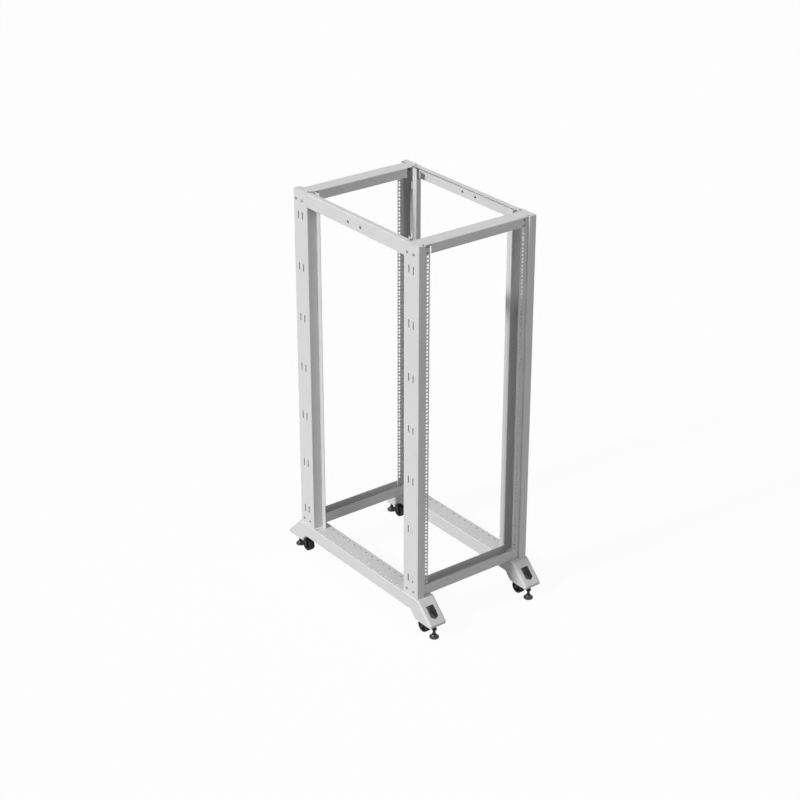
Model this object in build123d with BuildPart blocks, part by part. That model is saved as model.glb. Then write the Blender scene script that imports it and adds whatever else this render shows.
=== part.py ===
from build123d import *
import os

# A four post open frame rack for 19 inch equipment, standing on four levelling feet.
# X runs to the rack's right, Y from its front to its rear, Z up from the floor.
# The origin is on the floor, under the middle of the frame. Sizes are in millimetres.

# The mounting pattern that every 19 inch rack shares
units = 32
unit_height = 44.45
hole_side = 9.5
hole_heights = (6.35, 22.225, 38.1)
column_spacing = 465.1

# The frame over its posts
frame_depth = 816.0
post_base = 157.0
margin_below = 46.0
margin_above = 46.0
sheet = 2.0
bend = 2.0
seam = 0.3

# The folded section of a post, from its hole strip round to its inner flange
hole_to_lip = 11.5
hole_to_step = 18.5
front_strip = 35.0
strip_recess = 13.0
strip_lip = 6.0
web_depth = 93.0
inner_flange = 45.0
inner_lip = 26.0

# Slots in a post's side plate, in pairs
slot_pairs = 7
slot_pitch_units = 5
first_slot_drop = 56.0
slot_length = 34.0
slot_width = 6.0
slot_rows = (32.0, 60.0)

# Bars round the top
side_bar_height = 56.0
side_bar_flange = 24.0
top_bar_depth = 67.0
top_bar_height = 41.0
top_bar_proud = 6.0
cable_hole = 9.0
cable_hole_drop = 33.0
cable_hole_spacing = 80.0

# Bars across the base, open at the top. Both have their tall wall to the rack's front
base_bar_depth = 69.0
base_bar_tall = 47.0
base_bar_low = 36.0

# Side channels of the base, open below, with a foot at each end
base_sheet = 2.5
base_fold = 4.0
beam_width = 84.0
beam_proud = 5.5
beam_height = 57.0
beam_hole = 9.0
beam_hole_count = 16
beam_hole_pitch = 40.0
beam_hole_inset = 16.5

# The feet at the ends of the channels
foot_ledge = 9.0
foot_reach = 92.0
foot_drop = 90.0
foot_nose = 10.0
foot_flat = 4.5
foot_heel = 60.0
foot_round = 10.0
window_width = 38.0
window_top = 33.0
window_length = 50.0
window_point = 10.0

# Levelling feet
stud_radius = 6.0
stud_clearance = 0.1
stud_rise = 14.0
stud_offset = 65.0
pad_radius = 19.5
pad_rim = 4.0
pad_height = 16.0
pad_crown = 9.0
pad_socket = 8.0
nut_width = 19.0
nut_height = 10.0

# Castors
castor_offset = 10.0
castor_lift = 1.5
castor_trail = 7.5
wheel_radius = 27.0
wheel_width = 23.0
tread_round = 4.0
rim_radius = 20.0
disc_half = 3.0
hub_radius = 9.0
axle_radius = 3.0
axle_clearance = 0.1
axle_head = 1.2
axle_head_radius = 5.0
fork_gap = 2.0
fork_wall = 2.5
fork_crown = 2.5
fork_eye = 8.0
crown_gap = 3.5
head_radius = 10.0
head_height = 3.5
king_radius = 4.0
king_clearance = 0.1
rivet_radius = 6.0
rivet_height = 1.2
stem_radius = 5.0
stem_rise = 12.0

# Heights and half sizes that follow from these
hole_x = column_spacing / 2
strip_x = hole_x + hole_to_step
half_width = strip_x + front_strip
half_depth = frame_depth / 2
half_sheet = sheet / 2
post_height = units * unit_height + margin_below + margin_above
frame_top = post_base + post_height
rail_base = post_base + margin_below
rail_top = rail_base + units * unit_height
foot_base = post_base - foot_drop
side_inner = half_width - sheet
beam_outer = half_width + beam_proud
foot_x = beam_outer - beam_width / 2

# Lines of the front right post, which every piece near it follows
front_y = -half_depth
strip_y = front_y + strip_recess
lip_x = hole_x - hole_to_lip
flange_x = half_width - inner_flange
flange_y = front_y + web_depth
end_inset = sheet + bend + seam

# Centres and heights of the feet and castors at that corner
stud_y = front_y - stud_offset
castor_y = front_y - castor_offset
wheel_y = castor_y + castor_trail
wheel_z = castor_lift + wheel_radius
crown_under = wheel_z + wheel_radius + crown_gap
head_z = foot_base - head_height
fork_half = wheel_width / 2 + fork_gap + fork_wall

corners = {
    "front_left": (-1, -1),
    "front_right": (1, -1),
    "rear_left": (-1, 1),
    "rear_right": (1, 1),
}

os.makedirs("parts", exist_ok=True)


def place(solid, side, end):
    """Turn a piece made for the front right corner into its twin at another corner."""
    if side > 0:
        twin = solid
    else:
        twin = mirror(solid, about=Plane.YZ)
    if end > 0:
        twin = mirror(twin, about=Plane.XZ)
    return twin


def save(solid, name):
    """Label a finished piece and write it out."""
    solid.label = name
    export_step(solid, f"parts/{name}.step")


def save_corners(solid, name):
    """Write the four corner twins of a piece."""
    for corner, (side, end) in corners.items():
        save(place(solid, side, end), f"{name}_{corner}")


# Posts. Each is one folded sheet: a lip along the bay, the inner flange, the side plate,
# the front strip, a step back, the strip with the square holes, and its own lip.
with BuildPart() as post:
    with BuildSketch(Plane.XY.offset(post_base)):
        with BuildLine():
            FilletPolyline(
                (flange_x + half_sheet, flange_y + inner_lip),
                (flange_x + half_sheet, flange_y - half_sheet),
                (half_width - half_sheet, flange_y - half_sheet),
                (half_width - half_sheet, front_y + half_sheet),
                (strip_x + half_sheet, front_y + half_sheet),
                (strip_x + half_sheet, strip_y + half_sheet),
                (lip_x + half_sheet, strip_y + half_sheet),
                (lip_x + half_sheet, strip_y + strip_lip),
                radius=bend + half_sheet,
            )
        trace(line_width=sheet)
    extrude(amount=post_height)

    # Square holes, three to a unit
    with BuildSketch(Plane.XZ.offset(-strip_y)):
        hole_zs = [rail_base + n * unit_height + h for n in range(units) for h in hole_heights]
        with Locations(*[(hole_x, z) for z in hole_zs]):
            Rectangle(hole_side, hole_side)
    extrude(amount=-2 * sheet, mode=Mode.SUBTRACT)

    # Slots in the side plate, in pairs
    with BuildSketch(Plane.YZ.offset(half_width)):
        for pair in range(slot_pairs):
            slot_z = rail_top - first_slot_drop - pair * slot_pitch_units * unit_height
            with Locations(*[(front_y + row, slot_z) for row in slot_rows]):
                SlotOverall(slot_length, slot_width, rotation=90)
    extrude(amount=-2 * sheet, mode=Mode.SUBTRACT)

    # The hole strip and its lip end under the plate of the top bar
    with BuildSketch(Plane.XY.offset(frame_top)):
        with Locations((strip_x, strip_y - sheet)):
            Rectangle(strip_x - lip_x + sheet, strip_lip + 2 * sheet, align=(Align.MAX, Align.MIN))
    extrude(amount=-sheet, mode=Mode.SUBTRACT)

    # The inner flange is cut away where the side bar passes through it
    with BuildSketch(Plane.XZ.offset(-flange_y)):
        with Locations((side_inner, frame_top)):
            Rectangle(side_bar_flange + seam, side_bar_height + seam, align=(Align.MAX, Align.MAX))
    extrude(amount=2 * (sheet + bend), both=True, mode=Mode.SUBTRACT)
save_corners(post.part, "post")

# Side bars of the top frame: an angle whose plate lies against the posts' side plates
with BuildPart() as side_bar:
    with BuildSketch(Plane.XZ.offset(half_depth - end_inset)):
        with BuildLine():
            FilletPolyline(
                (side_inner - half_sheet, frame_top - side_bar_height),
                (side_inner - half_sheet, frame_top - half_sheet),
                (side_inner - side_bar_flange, frame_top - half_sheet),
                radius=bend + half_sheet,
            )
        trace(line_width=sheet)
    extrude(amount=-(frame_depth - 2 * end_inset))
    with BuildSketch(Plane.YZ.offset(side_inner)):
        with Locations((0, frame_top - cable_hole_drop)):
            with GridLocations(cable_hole_spacing, 0, 2, 1):
                Circle(cable_hole / 2)
    extrude(amount=-2 * sheet, mode=Mode.SUBTRACT)
save(side_bar.part, "top_side_bar_right")
save(mirror(side_bar.part, about=Plane.YZ), "top_side_bar_left")

# Front and rear bars of the top frame: a channel open below, with a hem along the foot of its
# face. Its walls end between the posts' lips, and its plate runs on over the posts. The front
# one stands proud of the hole strips, and the rear one lies just inside them.
bar_half = strip_x - bend - seam
bar_front = strip_y - top_bar_proud
bar_back = bar_front + top_bar_depth
with BuildPart() as top_bar:
    with BuildSketch(Plane.YZ.offset(-bar_half)):
        with BuildLine():
            FilletPolyline(
                (strip_y - seam, frame_top - top_bar_height + half_sheet),
                (bar_front + half_sheet, frame_top - top_bar_height + half_sheet),
                (bar_front + half_sheet, frame_top - half_sheet),
                (bar_back - half_sheet, frame_top - half_sheet),
                (bar_back - half_sheet, frame_top - top_bar_height),
                radius=bend + half_sheet,
            )
        trace(line_width=sheet)
    extrude(amount=2 * bar_half)
    with BuildSketch(Plane.XY.offset(frame_top - sheet)):
        for side in (-1, 1):
            with Locations((side * (lip_x - seam + bar_half) / 2, bar_front)):
                Rectangle(
                    bar_half - lip_x + seam,
                    top_bar_depth,
                    align=(Align.CENTER, Align.MIN),
                )
    extrude(amount=-top_bar_height, mode=Mode.SUBTRACT)
    # The plate runs on behind the posts' steps to the side bars
    with BuildSketch(Plane.XY.offset(frame_top)):
        with Locations((0, strip_y + 2 * sheet)):
            Rectangle(
                2 * (side_inner - side_bar_flange - seam),
                bar_back - bend - strip_y - 3 * sheet,
                align=(Align.CENTER, Align.MIN),
            )
    extrude(amount=-sheet)
save(top_bar.part, "top_bar_front")
rear_bar = mirror(top_bar.part, about=Plane.XZ).moved(Location((0, -top_bar_proud - sheet, 0)))
save(rear_bar, "top_bar_rear")

# Front and rear bars of the base: a channel open above, standing on the side channels
base_bar_front = strip_y - sheet
base_bar_back = base_bar_front + base_bar_depth
base_bars = {
    "front": (-1, base_bar_tall, base_bar_low),
    "rear": (1, base_bar_low, base_bar_tall),
}
for bar_name, (end, outer_wall, inner_wall) in base_bars.items():
    with BuildPart() as base_bar:
        with BuildSketch(Plane.YZ.offset(-bar_half)):
            with BuildLine():
                FilletPolyline(
                    (base_bar_front + half_sheet, post_base + outer_wall),
                    (base_bar_front + half_sheet, post_base + half_sheet),
                    (base_bar_back - half_sheet, post_base + half_sheet),
                    (base_bar_back - half_sheet, post_base + inner_wall),
                    radius=bend + half_sheet,
                )
            trace(line_width=sheet)
        extrude(amount=2 * bar_half)
        # The floor is cut away round the posts' hole strips and their lips
        with BuildSketch(Plane.XY.offset(post_base)):
            for side in (-1, 1):
                with Locations((side * (bar_half + lip_x - seam) / 2, strip_y)):
                    Rectangle(
                        bar_half - lip_x + seam,
                        strip_lip + seam,
                        align=(Align.CENTER, Align.MIN),
                    )
        extrude(amount=bend + sheet, mode=Mode.SUBTRACT)
    save(place(base_bar.part, 1, end), f"base_bar_{bar_name}")

# Side channels of the base. The posts and the base bars stand on their top plates
beam_line = base_sheet / 2
with BuildPart() as beam:
    with BuildSketch(Plane.XZ.offset(half_depth - foot_heel)):
        with BuildLine():
            FilletPolyline(
                (beam_outer - beam_width + beam_line, post_base - beam_height),
                (beam_outer - beam_width + beam_line, post_base - beam_line),
                (beam_outer - beam_line, post_base - beam_line),
                (beam_outer - beam_line, post_base - beam_height),
                radius=base_fold - beam_line,
            )
        trace(line_width=base_sheet)
    extrude(amount=-2 * (half_depth - foot_heel))
    with BuildSketch(Plane.XY.offset(post_base)):
        with Locations((foot_x, 0)):
            with GridLocations(
                beam_width - 2 * beam_hole_inset, beam_hole_pitch, 2, beam_hole_count
            ):
                Circle(beam_hole / 2)
    extrude(amount=-base_sheet, mode=Mode.SUBTRACT)
save(beam.part, "base_beam_right")
save(mirror(beam.part, about=Plane.YZ), "base_beam_left")

# Outline of a foot seen from the side: ledge, slope, nose, floor, knee and heel
foot_tip_drop = foot_drop - foot_nose
foot_knee = foot_flat + foot_drop - beam_height
knee_rise = 1.4 * base_sheet
foot_outline = (
    (front_y - foot_ledge, post_base),
    (front_y - foot_reach, post_base - foot_tip_drop),
    (front_y - foot_reach, foot_base),
    (front_y + foot_flat, foot_base),
    (front_y + foot_knee, post_base - beam_height),
    (front_y + foot_heel, post_base - beam_height),
    (front_y + foot_heel, post_base),
)

# Foot boxes, open behind and below the heel. The sloping front has a pointed window
slope_plane = Plane(
    origin=(foot_x, front_y - foot_ledge, post_base),
    x_dir=(1, 0, 0),
    z_dir=(0, -foot_tip_drop, foot_reach - foot_ledge),
)
with BuildPart() as foot:
    with BuildSketch(Plane.YZ.offset(beam_outer)):
        Polygon(*foot_outline, align=None)
    extrude(amount=-beam_width)
    nose_face = foot.faces().sort_by(Axis.Y)[0]
    slope_face = foot.faces().filter_by(slope_plane).sort_by(Axis.Y)[0]
    round_edges = nose_face.edges().filter_by(Axis.Z)
    round_edges += slope_face.edges().filter_by(Axis.X, reverse=True)
    fillet(round_edges, radius=foot_round)
    top_face = foot.faces().sort_by(Axis.Z)[-1]
    fillet(top_face.edges().filter_by(Axis.Y), radius=base_fold)
    heel_face = foot.faces().sort_by(Axis.Y)[-1]
    low_faces = foot.faces().filter_by(lambda face: face.normal_at().Z < -0.5)
    under_faces = low_faces.sort_by(Axis.Z)[1:]
    offset(amount=-base_sheet, openings=[heel_face] + under_faces)
    # Knee plate between the floor and the side channel
    with BuildSketch(Plane.YZ.offset(beam_outer)):
        Polygon(
            (front_y + foot_flat, foot_base),
            (front_y + foot_knee, post_base - beam_height),
            (front_y + foot_knee, post_base - beam_height + knee_rise),
            (front_y + foot_flat, foot_base + knee_rise),
            align=None,
        )
    extrude(amount=-beam_width)
    with BuildSketch(slope_plane):
        with BuildLine():
            Polyline(
                (-window_width / 2, -window_top),
                (window_width / 2, -window_top),
                (window_width / 2, -window_top - window_length),
                (0, -window_top - window_length - window_point),
                (-window_width / 2, -window_top - window_length),
                close=True,
            )
        make_face()
    extrude(amount=-2 * base_sheet, mode=Mode.SUBTRACT)
    # Holes in its floor for the levelling stud and the castor's stem
    with BuildSketch(Plane.XY.offset(foot_base)):
        with Locations((foot_x, stud_y)):
            Circle(stud_radius + stud_clearance)
        with Locations((foot_x, castor_y)):
            Circle(stem_radius + stud_clearance)
    extrude(amount=base_sheet, mode=Mode.SUBTRACT)
    # Welded nut for the levelling stud
    with BuildSketch(Plane.XY.offset(foot_base + base_sheet)):
        with Locations((foot_x, stud_y)):
            RegularPolygon(nut_width / 2, 6, major_radius=False)
            Circle(stud_radius + stud_clearance, mode=Mode.SUBTRACT)
    extrude(amount=nut_height)
save_corners(foot.part, "foot_box")

# Levelling studs, each standing in the socket of its pad
with BuildPart() as stud:
    with BuildSketch(Plane.XY.offset(pad_socket)):
        with Locations((foot_x, stud_y)):
            Circle(stud_radius)
    extrude(amount=foot_base + base_sheet + stud_rise - pad_socket)
save_corners(stud.part, "levelling_stud")

with BuildPart() as pad:
    with BuildSketch(Plane.XZ.offset(-stud_y)):
        with BuildLine():
            Polyline(
                (foot_x, 0),
                (foot_x + pad_radius, 0),
                (foot_x + pad_radius, pad_rim),
                (foot_x + pad_crown, pad_height),
                (foot_x + stud_radius + stud_clearance, pad_height),
                (foot_x + stud_radius + stud_clearance, pad_socket),
                (foot_x, pad_socket),
                close=True,
            )
        make_face()
    revolve(axis=Axis((foot_x, stud_y, 0), (0, 0, 1)))
save_corners(pad.part, "levelling_pad")

# Castor mounts: a head plate under the foot, its stem through the floor, and the king pin
with BuildPart() as mount:
    with BuildSketch(Plane.XZ.offset(-castor_y)):
        with BuildLine():
            Polyline(
                (foot_x, foot_base + base_sheet + stem_rise),
                (foot_x + stem_radius, foot_base + base_sheet + stem_rise),
                (foot_x + stem_radius, foot_base),
                (foot_x + head_radius, foot_base),
                (foot_x + head_radius, head_z),
                (foot_x + king_radius, head_z),
                (foot_x + king_radius, crown_under - seam),
                (foot_x + rivet_radius, crown_under - seam),
                (foot_x + rivet_radius, crown_under - seam - rivet_height),
                (foot_x, crown_under - seam - rivet_height),
                close=True,
            )
        make_face()
    revolve(axis=Axis((foot_x, castor_y, 0), (0, 0, 1)))
save_corners(mount.part, "castor_mount")

# Castor forks: a race round the king pin on a crown with two cheeks down to the axle
with BuildPart() as fork:
    with BuildSketch(Plane.YZ.offset(foot_x)):
        with BuildLine():
            Line(
                (castor_y - head_radius, crown_under + fork_crown),
                (castor_y + head_radius, crown_under + fork_crown),
            )
            Line((castor_y - head_radius, crown_under), (castor_y + head_radius, crown_under))
            CenterArc((wheel_y, wheel_z), fork_eye, 0, 360)
        make_hull()
    extrude(amount=fork_half, both=True)
    with BuildSketch(Plane.XY.offset(crown_under)):
        with Locations((foot_x, castor_y)):
            Rectangle(2 * (fork_half - fork_wall), 4 * wheel_radius)
    extrude(amount=-crown_under, mode=Mode.SUBTRACT)
    with BuildSketch(Plane.XY.offset(crown_under + fork_crown)):
        with Locations((foot_x, castor_y)):
            Circle(head_radius)
    extrude(amount=head_z - seam - crown_under - fork_crown)
    with BuildSketch(Plane.XY.offset(crown_under)):
        with Locations((foot_x, castor_y)):
            Circle(king_radius + king_clearance)
    extrude(amount=head_z - crown_under, mode=Mode.SUBTRACT)
    with BuildSketch(Plane.YZ.offset(foot_x)):
        with Locations((wheel_y, wheel_z)):
            Circle(axle_radius + axle_clearance)
    extrude(amount=fork_half, both=True, mode=Mode.SUBTRACT)
save_corners(fork.part, "castor_fork")

# Axles, with a head outside each cheek
with BuildPart() as axle:
    with BuildSketch(Plane.YZ.offset(foot_x)):
        with Locations((wheel_y, wheel_z)):
            Circle(axle_radius)
    extrude(amount=fork_half, both=True)
    for side in (-1, 1):
        with BuildSketch(Plane.YZ.offset(foot_x + side * fork_half)):
            with Locations((wheel_y, wheel_z)):
                Circle(axle_head_radius)
        extrude(amount=side * axle_head)
save_corners(axle.part, "castor_axle")

# Wheels, with a hub, a recessed disc and a rounded tread
with BuildPart() as wheel:
    with BuildSketch(Plane.XY.offset(wheel_z)) as wheel_sketch:
        with BuildLine():
            Polyline(
                (foot_x - wheel_width / 2, wheel_y + axle_radius + axle_clearance),
                (foot_x - wheel_width / 2, wheel_y + hub_radius),
                (foot_x - disc_half, wheel_y + hub_radius),
                (foot_x - disc_half, wheel_y + rim_radius),
                (foot_x - wheel_width / 2, wheel_y + rim_radius),
                (foot_x - wheel_width / 2, wheel_y + wheel_radius),
                (foot_x + wheel_width / 2, wheel_y + wheel_radius),
                (foot_x + wheel_width / 2, wheel_y + rim_radius),
                (foot_x + disc_half, wheel_y + rim_radius),
                (foot_x + disc_half, wheel_y + hub_radius),
                (foot_x + wheel_width / 2, wheel_y + hub_radius),
                (foot_x + wheel_width / 2, wheel_y + axle_radius + axle_clearance),
                close=True,
            )
        make_face()
        fillet(wheel_sketch.vertices().group_by(Axis.Y)[-1], radius=tread_round)
    revolve(axis=Axis((foot_x, wheel_y, wheel_z), (1, 0, 0)))
save_corners(wheel.part, "castor_wheel")
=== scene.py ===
import math

import bmesh
import bpy
from mathutils import Matrix, Vector


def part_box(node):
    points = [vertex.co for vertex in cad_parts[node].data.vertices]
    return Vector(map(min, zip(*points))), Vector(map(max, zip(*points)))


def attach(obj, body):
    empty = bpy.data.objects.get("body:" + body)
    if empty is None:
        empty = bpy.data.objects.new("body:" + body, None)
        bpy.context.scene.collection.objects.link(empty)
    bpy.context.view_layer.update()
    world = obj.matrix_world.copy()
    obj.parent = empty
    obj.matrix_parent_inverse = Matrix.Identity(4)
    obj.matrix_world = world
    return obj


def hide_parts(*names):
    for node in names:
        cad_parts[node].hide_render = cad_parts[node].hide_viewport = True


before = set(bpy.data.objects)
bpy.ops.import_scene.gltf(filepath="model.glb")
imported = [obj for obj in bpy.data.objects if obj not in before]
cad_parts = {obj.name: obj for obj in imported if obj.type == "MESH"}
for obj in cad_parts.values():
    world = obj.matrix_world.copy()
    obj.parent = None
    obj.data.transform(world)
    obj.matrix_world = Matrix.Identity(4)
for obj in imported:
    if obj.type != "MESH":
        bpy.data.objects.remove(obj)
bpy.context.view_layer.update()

# Camera. It stands before the rack's left side, well above it, and looks down at it through
# a long lens, so the posts lean in only a little.
camera_data = bpy.data.cameras.new("studio_camera")
camera_data.lens = 88.0
camera_data.sensor_width = 36.0
camera = bpy.data.objects.new("studio_camera", camera_data)
camera.location = (-4.4011, -5.7089, 4.3068)
camera.rotation_euler = (math.radians(90.0 - 25.89), 0.0, math.radians(-37.23))
bpy.context.scene.collection.objects.link(camera)
bpy.context.scene.camera = camera

# Studio. A pale floor in a white room. Two lamps high on the rack's left, one of them broad and
# a little behind, make the left sides bright. Weak ones light the fronts and the tops.
scene = bpy.context.scene
scene.view_settings.view_transform = "Standard"


def seen_directly(tree):
    """A socket that is 1 for rays from the camera, mirrors and clear parts, and 0 for light."""
    path = tree.nodes.new("ShaderNodeLightPath")
    glossy = tree.nodes.new("ShaderNodeMath")
    glossy.operation = "MAXIMUM"
    clear = tree.nodes.new("ShaderNodeMath")
    clear.operation = "MAXIMUM"
    tree.links.new(path.outputs["Is Camera Ray"], glossy.inputs[0])
    tree.links.new(path.outputs["Is Glossy Ray"], glossy.inputs[1])
    tree.links.new(glossy.outputs[0], clear.inputs[0])
    tree.links.new(path.outputs["Is Transmission Ray"], clear.inputs[1])
    return clear.outputs[0]


room = bpy.data.worlds.new("white_room")
room.use_nodes = True
scene.world = room
tree = room.node_tree
tree.nodes.clear()
room_light = tree.nodes.new("ShaderNodeBackground")
room_light.inputs["Strength"].default_value = 0.14
room_white = tree.nodes.new("ShaderNodeBackground")
room_white.inputs["Strength"].default_value = 1.0
for background in (room_light, room_white):
    background.inputs["Color"].default_value = (1.0, 1.0, 1.0, 1.0)
choose = tree.nodes.new("ShaderNodeMixShader")
room_out = tree.nodes.new("ShaderNodeOutputWorld")
tree.links.new(seen_directly(tree), choose.inputs["Fac"])
tree.links.new(room_light.outputs[0], choose.inputs[1])
tree.links.new(room_white.outputs[0], choose.inputs[2])
tree.links.new(choose.outputs[0], room_out.inputs["Surface"])


def studio_lamp(name, towards, strength, softness):
    """A far lamp that shines one way, with soft shadows."""
    data = bpy.data.lights.new(name, "SUN")
    data.energy = strength
    data.angle = math.radians(softness)
    lamp = bpy.data.objects.new(name, data)
    lamp.rotation_euler = Vector(towards).to_track_quat("-Z", "Y").to_euler()
    scene.collection.objects.link(lamp)


studio_lamp("left_lamp", (1.0, -0.05, -0.72), 2.4, 6.0)
studio_lamp("left_softbox", (1.0, -0.165, -0.72), 0.75, 12.0)
studio_lamp("front_softbox", (0.2, 1.0, -0.4), 0.43, 20.0)
studio_lamp("top_softbox", (0.1, 0.4, -1.0), 0.42, 30.0)

floor_half = 30.0
floor_corners = ((-1, -1), (1, -1), (1, 1), (-1, 1))
floor_mesh = bpy.data.meshes.new("studio_floor")
floor_mesh.from_pydata(
    [(floor_half * x, floor_half * y, 0.0) for x, y in floor_corners], [], [(0, 1, 2, 3)]
)
floor = bpy.data.objects.new("studio_floor", floor_mesh)
scene.collection.objects.link(floor)
floor_paint = bpy.data.materials.new("floor_white")
floor_paint.use_nodes = True
tree = floor_paint.node_tree
tree.nodes.clear()
floor_matt = tree.nodes.new("ShaderNodeBsdfDiffuse")
floor_matt.inputs["Color"].default_value = (0.4, 0.4, 0.4, 1.0)
floor_white = tree.nodes.new("ShaderNodeEmission")
floor_white.inputs["Strength"].default_value = 1.055
shadow_share = 0.1
keep = tree.nodes.new("ShaderNodeMath")
keep.operation = "MULTIPLY"
keep.inputs[1].default_value = 1.0 - shadow_share
mix = tree.nodes.new("ShaderNodeMixShader")
out = tree.nodes.new("ShaderNodeOutputMaterial")
tree.links.new(seen_directly(tree), keep.inputs[0])
tree.links.new(keep.outputs[0], mix.inputs["Fac"])
tree.links.new(floor_matt.outputs[0], mix.inputs[1])
tree.links.new(floor_white.outputs[0], mix.inputs[2])
tree.links.new(mix.outputs[0], out.inputs["Surface"])
floor_mesh.materials.append(floor_paint)

# Side channels of the base and the foot boxes at their ends. They are folded and welded from
# mild steel sheet, ground smooth at the corners, sprayed with a light grey powder and baked.


def new_finish(name):
    """A finish with its shader and the object's own coordinates, in metres."""
    finish = bpy.data.materials.new(name)
    finish.use_nodes = True
    tree = finish.node_tree
    tree.nodes.clear()
    shader = tree.nodes.new("ShaderNodeBsdfPrincipled")
    out = tree.nodes.new("ShaderNodeOutputMaterial")
    tree.links.new(shader.outputs[0], out.inputs["Surface"])
    place = tree.nodes.new("ShaderNodeTexCoord").outputs["Object"]
    return finish, tree, shader, place


def cloudiness(tree, place, scale, detail=2.0):
    """A noise that varies scale times in a metre."""
    noise = tree.nodes.new("ShaderNodeTexNoise")
    noise.inputs["Scale"].default_value = scale
    noise.inputs["Detail"].default_value = detail
    tree.links.new(place, noise.inputs["Vector"])
    return noise.outputs["Fac"]


def spread(tree, value, low, high):
    """A noise stretched over a range of numbers."""
    ramp = tree.nodes.new("ShaderNodeMapRange")
    ramp.inputs["From Min"].default_value = 0.3
    ramp.inputs["From Max"].default_value = 0.7
    ramp.inputs["To Min"].default_value = low
    ramp.inputs["To Max"].default_value = high
    tree.links.new(value, ramp.inputs["Value"])
    return ramp.outputs["Result"]


def between(tree, value, first, second):
    """A grey between two others, by a noise."""
    mix = tree.nodes.new("ShaderNodeMix")
    mix.data_type = "RGBA"
    mix.inputs["A"].default_value = (first, first, first, 1.0)
    mix.inputs["B"].default_value = (second, second, second, 1.0)
    tree.links.new(spread(tree, value, 0.0, 1.0), mix.inputs["Factor"])
    return mix.outputs["Result"]


def rough_skin(tree, shader, height, distance):
    """A bump of real height, in metres, under the shader."""
    bump = tree.nodes.new("ShaderNodeBump")
    bump.inputs["Distance"].default_value = distance
    tree.links.new(height, bump.inputs["Height"])
    tree.links.new(bump.outputs[0], shader.inputs["Normal"])


def powder_coat(name, light, dark):
    """Light grey powder coat: faint clouds of tone, an orange peel and a satin sheen."""
    finish, tree, shader, place = new_finish(name)
    tone = between(tree, cloudiness(tree, place, 9.0, 4.0), light, dark)
    tree.links.new(tone, shader.inputs["Base Color"])
    sheen = spread(tree, cloudiness(tree, place, 40.0), 0.38, 0.48)
    tree.links.new(sheen, shader.inputs["Roughness"])
    rough_skin(tree, shader, cloudiness(tree, place, 650.0, 3.0), 0.00006)
    return finish


def coat(node, finish):
    """Give a node of the frame its finish."""
    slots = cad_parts[node].data.materials
    slots.clear()
    slots.append(finish)


corners = {
    "front_left": (-1, -1),
    "front_right": (1, -1),
    "rear_left": (-1, 1),
    "rear_right": (1, 1),
}
base_paint = powder_coat("base_powder_coat", 0.60, 0.575)
coat("base_beam_left", base_paint)
coat("base_beam_right", base_paint)
for corner in corners:
    coat(f"foot_box_{corner}", base_paint)

# Castor wheels. A rubber tyre is moulded round a black nylon centre, which has a hub and
# eight ribs on each side of its disc. Each turns on its axle, just clear of the floor.
mm = 0.001


def turned(bm, base, axis, profile, steps=36, ring=False):
    """Add a turned body. Each line of its profile is a radius, a height along the axis and the
    width across flats where the section is a hexagon, or 0. A ring's profile closes on itself."""
    along = Vector(axis).normalized()
    across = along.orthogonal().normalized()
    third = along.cross(across)
    rows = []
    for radius, height, flats in profile:
        centre = Vector(base) + along * height
        if radius == 0.0:
            rows.append([bm.verts.new(centre)])
            continue
        row = []
        for step in range(steps):
            angle = math.tau * step / steps
            reach = radius
            if flats:
                side = (angle + math.pi / 6) % (math.pi / 3) - math.pi / 6
                reach = min(radius, flats / 2 / math.cos(side))
            point = across * math.cos(angle) + third * math.sin(angle)
            row.append(bm.verts.new(centre + point * reach))
        rows.append(row)
    if ring:
        rows.append(rows[0])
    for low, high in zip(rows, rows[1:]):
        for step in range(steps):
            after = (step + 1) % steps
            if len(low) == 1:
                bm.faces.new((low[0], high[after], high[step]))
            elif len(high) == 1:
                bm.faces.new((low[step], low[after], high[0]))
            else:
                bm.faces.new((low[step], low[after], high[after], high[step]))


def new_piece(name, bm, finish, body, sharp=32.0):
    """Turn the mesh into a piece with its finish, which rides on a body of the frame."""
    bmesh.ops.recalc_face_normals(bm, faces=bm.faces)
    mesh = bpy.data.meshes.new(name)
    bm.to_mesh(mesh)
    bm.free()
    mesh.polygons.foreach_set("use_smooth", [True] * len(mesh.polygons))
    mesh.set_sharp_from_angle(angle=math.radians(sharp))
    mesh.materials.append(finish)
    piece = bpy.data.objects.new(name, mesh)
    scene.collection.objects.link(piece)
    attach(piece, body)
    return piece


def middle(node):
    """The middle of a node's box."""
    low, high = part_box(node)
    return (Vector(low) + Vector(high)) / 2


tyre_rubber, tree, shader, place = new_finish("tyre_rubber")
tone = between(tree, cloudiness(tree, place, 45.0, 3.0), 0.012, 0.022)
tree.links.new(tone, shader.inputs["Base Color"])
tree.links.new(spread(tree, cloudiness(tree, place, 160.0), 0.6, 0.78), shader.inputs["Roughness"])
shader.inputs["Specular IOR Level"].default_value = 0.3
rough_skin(tree, shader, cloudiness(tree, place, 1400.0, 2.0), 0.0001)

black_nylon, tree, shader, place = new_finish("moulded_black_nylon")
tone = between(tree, cloudiness(tree, place, 60.0), 0.008, 0.014)
tree.links.new(tone, shader.inputs["Base Color"])
tree.links.new(spread(tree, cloudiness(tree, place, 220.0), 0.4, 0.52), shader.inputs["Roughness"])
shader.inputs["Specular IOR Level"].default_value = 0.25
rough_skin(tree, shader, cloudiness(tree, place, 2200.0, 1.0), 0.00004)

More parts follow.
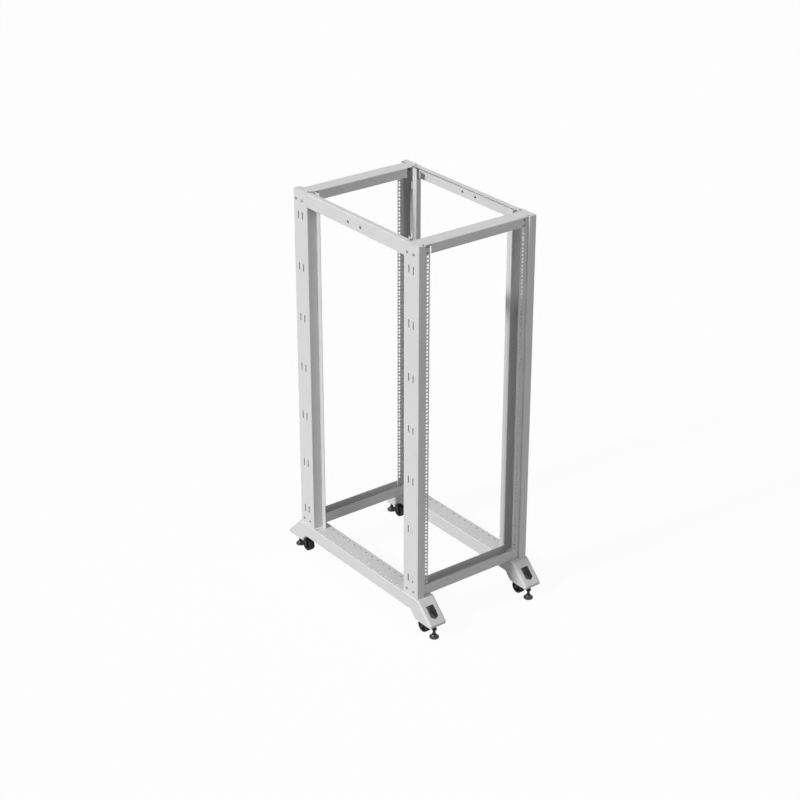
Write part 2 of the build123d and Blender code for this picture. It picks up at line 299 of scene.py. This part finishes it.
tyre_profile = (
    (21.0, -12.0), (25.6, -12.6), (27.6, -11.8), (28.2, -9.6), (28.4, -4.0),
    (28.4, 4.0), (28.2, 9.6), (27.6, 11.8), (25.6, 12.6), (21.0, 12.0),
)
centre_profile = (
    (3.2, -11.3), (7.4, -11.5), (8.2, -10.9), (8.8, -4.2), (9.8, -3.2),
    (18.6, -3.2), (19.4, -4.2), (19.8, -10.6), (20.4, -11.2), (21.1, -11.0),
    (21.1, 11.0), (20.4, 11.2), (19.8, 10.6), (19.4, 4.2), (18.6, 3.2),
    (9.8, 3.2), (8.8, 4.2), (8.2, 10.9), (7.4, 11.5), (3.2, 11.3),
)
rib_count = 8
rib_width, rib_thickness, rib_length = 6.4, 1.8, 11.6
rib_from_disc = 6.2
rib_from_axle = 14.2
for corner in corners:
    node = f"castor_wheel_{corner}"
    axle_middle = middle(node)
    bm = bmesh.new()
    profile = [(radius * mm, height * mm, 0) for radius, height in tyre_profile]
    turned(bm, axle_middle, (1, 0, 0), profile, steps=64, ring=True)
    tyre = new_piece(f"castor_tyre_{corner}", bm, tyre_rubber, f"wheel_{corner}")
    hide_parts(node)
    bm = bmesh.new()
    profile = [(radius * mm, height * mm, 0) for radius, height in centre_profile]
    turned(bm, axle_middle, (1, 0, 0), profile, steps=48, ring=True)
    for rib in range(rib_count):
        turn = Matrix.Rotation(math.tau * (rib + 0.5) / rib_count, 4, "X")
        for side in (-1, 1):
            size = Matrix.Diagonal((rib_width * mm, rib_thickness * mm, rib_length * mm, 1.0))
            stand = Matrix.Translation((side * rib_from_disc * mm, 0.0, rib_from_axle * mm))
            bmesh.ops.create_cube(
                bm, size=1.0, matrix=Matrix.Translation(axle_middle) @ turn @ stand @ size
            )
    new_piece(
        f"castor_wheel_centre_{corner}", bm, black_nylon, f"wheel_{corner}"
    )

# Castor forks. Each is one black nylon moulding: two cheeks down to the axle, a crown that
# joins them behind the wheel, and a race that turns on the king pin under the foot.
cheek_outline = [(7.0, -3.4), (5.5, 14.0), (3.6, 31.6), (2.6, 32.8), (-16.5, 32.8), (-17.5, 31.8)]
cheek_outline += [(-17.5, 27.5), (-14.5, 17.0), (-7.6, -2.6)]
for step in range(7):
    angle = math.radians(202.0 + 21.5 * step)
    cheek_outline.append((8.0 * math.cos(angle), 8.0 * math.sin(angle)))
crown_outline = [(2.6, 32.8), (-16.5, 32.8), (-17.5, 31.8), (-17.5, 29.6), (-10.0, 29.4), (3.2, 29.4)]


def slab(bm, outline, centre, end, first, last):
    """Add a slab with an outline in the wheel's plane, between two distances to its side."""
    rows = []
    for across in (first, last):
        rows.append([
            bm.verts.new(centre + Vector((across * mm, -end * back * mm, up * mm)))
            for back, up in outline
        ])
    bm.faces.new(rows[0])
    bm.faces.new(reversed(rows[1]))
    for step in range(len(outline)):
        after = (step + 1) % len(outline)
        bm.faces.new((rows[0][step], rows[1][step], rows[1][after], rows[0][after]))


cheek_inner = 13.3
cheek_outer = 16.0
race_rise = 32.7 * mm
race_bore = 4.3 * mm
race_radius = 9.9 * mm
for corner, (side, end) in corners.items():
    node = f"castor_fork_{corner}"
    fork_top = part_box(node)[1][2]
    centre = middle(f"castor_wheel_{corner}")
    king = middle(f"castor_mount_{corner}")
    bm = bmesh.new()
    slab(bm, cheek_outline, centre, end, -cheek_outer, -cheek_inner)
    slab(bm, cheek_outline, centre, end, cheek_inner, cheek_outer)
    slab(bm, crown_outline, centre, end, -cheek_inner, cheek_inner)
    race_base = Vector((king.x, king.y, centre.z + race_rise))
    race_top = fork_top - race_base.z
    race = (
        (race_bore, 0.0, 0), (race_radius, 0.0, 0),
        (race_radius, race_top, 0), (race_bore, race_top, 0),
    )
    turned(bm, race_base, (0, 0, 1), race, steps=36, ring=True)
    yoke = new_piece(f"castor_yoke_{corner}", bm, black_nylon, f"castor_{corner}")
    soften = yoke.modifiers.new("moulded_edges", "BEVEL")
    soften.width = 0.7 * mm
    soften.segments = 2
    soften.limit_method = "ANGLE"
    soften.angle_limit = math.radians(50.0)
    soften.harden_normals = True
    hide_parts(node)

# King pins, stems and axles of the castors. They are turned from steel and zinc plated, with
# the fine rings that the tool leaves.


def plated_steel(name, light, dark, rings):
    """Zinc plate over turned or pressed steel, dull and a little uneven."""
    finish, tree, shader, place = new_finish(name)
    tone = between(tree, cloudiness(tree, place, 120.0, 4.0), light, dark)
    tree.links.new(tone, shader.inputs["Base Color"])
    shader.inputs["Metallic"].default_value = 0.9
    dull = spread(tree, cloudiness(tree, place, 300.0, 2.0), 0.34, 0.5)
    tree.links.new(dull, shader.inputs["Roughness"])
    rough_skin(tree, shader, cloudiness(tree, place, rings, 2.0), 0.00003)
    return finish


castor_zinc = plated_steel("castor_dark_zinc", 0.06, 0.045, 1800.0)
for corner in corners:
    coat(f"castor_mount_{corner}", castor_zinc)
    coat(f"castor_axle_{corner}", castor_zinc)

# Levelling feet. A rolled M12 stud, blackened, screws through the nut welded inside the foot
# and carries a lock nut of its own. It stands in a bell shaped pad of black nylon.


def threaded(bm, base, axis, length, radius, pitch, steps=20):
    """Add a rod with a rolled thread, from its base along the axis."""
    along = Vector(axis).normalized()
    across = along.orthogonal().normalized()
    third = along.cross(across)
    depth = 0.55 * pitch
    count = max(2, round(length / pitch * 5))
    rows = []
    for row in range(count + 1):
        height = length * row / count
        centre = Vector(base) + along * height
        start = radius - depth + 0.8 * min(height, length - height)
        ring = []
        for step in range(steps):
            angle = math.tau * step / steps
            phase = (height / pitch - step / steps) % 1.0
            reach = min(radius - depth * abs(2.0 * phase - 1.0), start)
            point = across * math.cos(angle) + third * math.sin(angle)
            ring.append(bm.verts.new(centre + point * reach))
        rows.append(ring)
    for low, high in zip(rows, rows[1:]):
        for step in range(steps):
            after = (step + 1) % steps
            bm.faces.new((low[step], low[after], high[after], high[step]))
    bm.faces.new(reversed(rows[0]))
    bm.faces.new(rows[-1])


def nut_profile(bore, flats, height):
    """The profile of a hexagon nut with both faces chamfered, as turned() takes it."""
    corner = flats / 2 / math.cos(math.pi / 6)
    face = 0.475 * flats
    rise = 0.6 * (corner - face)
    return (
        (bore, 0.0, 0),
        (face, 0.0, flats),
        (corner, rise, flats),
        (corner, height - rise, flats),
        (face, height, flats),
        (bore, height, 0),
    )


blackened_steel = plated_steel("blackened_steel", 0.035, 0.022, 1500.0)
pad_nylon, tree, shader, place = new_finish("pad_black_nylon")
tone = between(tree, cloudiness(tree, place, 80.0), 0.016, 0.03)
tree.links.new(tone, shader.inputs["Base Color"])
tree.links.new(spread(tree, cloudiness(tree, place, 260.0), 0.3, 0.4), shader.inputs["Roughness"])
rough_skin(tree, shader, cloudiness(tree, place, 1600.0, 1.0), 0.00004)

pad_profile = (
    (0.0, 0.0), (17.4, 0.0), (18.2, 0.4), (19.4, 0.7), (19.9, 1.4), (19.9, 5.4), (19.5, 6.6),
    (18.4, 7.6), (16.0, 8.9), (13.8, 10.4), (12.0, 12.4), (10.6, 14.4), (9.7, 15.6), (8.7, 16.0),
    (6.3, 16.0), (6.3, 8.0), (0.0, 8.0),
)
stud_foot = (
    (0.0, 0.0, 0), (5.9 * mm, 0.0, 0), (5.9 * mm, 8.2 * mm, 0), (6.8 * mm, 8.2 * mm, 14 * mm),
    (8.1 * mm, 9.0 * mm, 14 * mm), (8.1 * mm, 12.7 * mm, 14 * mm), (6.8 * mm, 13.5 * mm, 14 * mm),
    (5.2 * mm, 13.5 * mm, 0), (0.0, 13.5 * mm, 0),
)
thread_start = 13.0 * mm
thread_radius = 5.95 * mm
thread_pitch = 1.75 * mm
lock_nut_rise = 27.5 * mm
for corner in corners:
    stud_node = f"levelling_stud_{corner}"
    pad_node = f"levelling_pad_{corner}"
    foot_body = f"levelling_foot_{corner}"
    low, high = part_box(stud_node)
    stud = middle(stud_node)
    bm = bmesh.new()
    turned(bm, (stud.x, stud.y, low[2]), (0, 0, 1), stud_foot)
    rod_base = Vector((stud.x, stud.y, low[2] + thread_start))
    threaded(bm, rod_base, (0, 0, 1), high[2] - rod_base.z, thread_radius, thread_pitch)
    rod = new_piece(f"threaded_stud_{corner}", bm, blackened_steel, foot_body)
    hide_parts(stud_node)
    bm = bmesh.new()
    profile = [(radius * mm, height * mm, 0) for radius, height in pad_profile]
    turned(bm, (stud.x, stud.y, 0.0), (0, 0, 1), profile, steps=48)
    pad = new_piece(f"bell_pad_{corner}", bm, pad_nylon, foot_body)
    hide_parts(pad_node)
    nut_base = (stud.x, stud.y, low[2] + lock_nut_rise)
    bm = bmesh.new()
    turned(bm, nut_base, (0, 0, 1), nut_profile(5.9 * mm, 19.0 * mm, 10.0 * mm), ring=True)
    new_piece(f"lock_nut_{corner}", bm, blackened_steel, foot_body)

# Posts. Each is rolled from one strip of steel, after its square holes and slots are punched,
# and powder coated. They stand on the ends of the side channels.
post_paint = powder_coat("post_powder_coat", 0.62, 0.60)
for corner in corners:
    coat(f"post_{corner}", post_paint)

# Bars across the base, open upwards, and the bars round the top. All are folded sheet with the
# same coat, a shade apart because each was sprayed on its own hook.
bar_paint = powder_coat("bar_powder_coat", 0.62, 0.595)
for node in ("top_side_bar_left", "top_side_bar_right", "top_bar_front", "top_bar_rear"):
    coat(node, bar_paint)
for node in ("base_bar_front", "base_bar_rear"):
    coat(node, base_paint)

# Screws through the side plates of the posts, two at the foot and two at the head of each.
# They are zinc plated M6 button heads with a hexagon socket, and have nuts inside the post.
frame_zinc = plated_steel("screw_zinc_plate", 0.26, 0.2, 2500.0)


def button_screw(bm, place, outward, grip):
    """Add a button head screw on a plate's outer face, and its nut behind a grip of sheet."""
    head = (
        (0.0, 0.0, 0), (5.0 * mm, 0.0, 0), (5.25 * mm, 0.35 * mm, 0), (5.05 * mm, 1.3 * mm, 0),
        (4.4 * mm, 2.3 * mm, 0), (3.5 * mm, 3.0 * mm, 0), (2.9 * mm, 3.3 * mm, 0),
        (2.4 * mm, 3.3 * mm, 4 * mm), (2.4 * mm, 1.2 * mm, 4 * mm), (0.0, 1.0 * mm, 0),
    )
    outward = Vector(outward)
    turned(bm, place, outward, head, steps=36)
    back = Vector(place) - outward * grip
    turned(bm, back, -outward, nut_profile(3.05 * mm, 10.0 * mm, 5.2 * mm), steps=36, ring=True)
    threaded(bm, Vector(place) - outward * 0.2 * mm, -outward, grip + 7.2 * mm, 3.0 * mm, 1.0 * mm, 14)


sheet = 2.0 * mm
head_screw_drop = 36.5 * mm
head_screw_insets = {-1: (30.0, 70.6), 1: (19.0, 59.5)}
foot_screw_rise = 26.0 * mm
foot_screw_insets = (24.5, 67.0)
for corner, (side, end) in corners.items():
    low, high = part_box(f"post_{corner}")
    plate_x = side * max(abs(low[0]), abs(high[0]))
    edge_y = end * max(abs(low[1]), abs(high[1]))
    bm = bmesh.new()
    for inset in head_screw_insets[end]:
        place = (plate_x, edge_y - end * inset * mm, high[2] - head_screw_drop)
        button_screw(bm, place, (side, 0, 0), 2 * sheet)
    new_piece(f"head_screws_{corner}", bm, frame_zinc, "frame")
    bm = bmesh.new()
    for inset in foot_screw_insets:
        place = (plate_x, edge_y - end * inset * mm, low[2] + foot_screw_rise)
        button_screw(bm, place, (side, 0, 0), sheet)
    new_piece(f"foot_screws_{corner}", bm, frame_zinc, "frame")

# Screws that hold the top bars, zinc plated like the others: two through the head of each hole
# strip, and one through the side bar's flange at each corner of the top.
strip_recess = 13.0 * mm
strip_screw_x = 236.0 * mm
strip_screw_drops = (13.0, 35.5)
flange_screw_x = 267.0 * mm
flange_screw_y = 329.0 * mm
for corner, (side, end) in corners.items():
    low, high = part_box(f"post_{corner}")
    strip_y = end * (max(abs(low[1]), abs(high[1])) - strip_recess)
    bm = bmesh.new()
    for drop in strip_screw_drops:
        place = (side * strip_screw_x, strip_y, high[2] - drop * mm)
        button_screw(bm, place, (0, end, 0), sheet)
    new_piece(f"strip_screws_{corner}", bm, frame_zinc, "frame")
    bm = bmesh.new()
    place = (side * flange_screw_x, end * flange_screw_y, high[2])
    button_screw(bm, place, (0, 0, 1), sheet)
    new_piece(f"flange_screw_{corner}", bm, frame_zinc, "frame")

# Rivet nuts in the two cable holes in the middle of each top side bar. They are zinc plated
# steel, short and closed at the back, and are pulled tight against the sheet when they are set.
rivet_nut_profile = (
    (0.0, -5.6 * mm, 0), (4.3 * mm, -5.6 * mm, 0), (4.4 * mm, 0.0, 0), (6.2 * mm, 0.0, 0),
    (6.4 * mm, 0.4 * mm, 0), (6.0 * mm, 0.9 * mm, 0), (3.4 * mm, 0.9 * mm, 0),
    (3.0 * mm, 0.5 * mm, 0), (3.0 * mm, -2.6 * mm, 0), (0.0, -2.6 * mm, 0),
)
cable_hole_drop = 33.0 * mm
cable_hole_from_middle = 40.0 * mm
for name, side in (("left", -1), ("right", 1)):
    low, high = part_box(f"top_side_bar_{name}")
    face_x = side * max(abs(low[0]), abs(high[0]))
    bm = bmesh.new()
    for end in (-1, 1):
        place = (face_x, end * cable_hole_from_middle, high[2] - cable_hole_drop)
        turned(bm, place, (side, 0, 0), rivet_nut_profile, steps=32)
    new_piece(f"rivet_nuts_{name}", bm, frame_zinc, "frame")
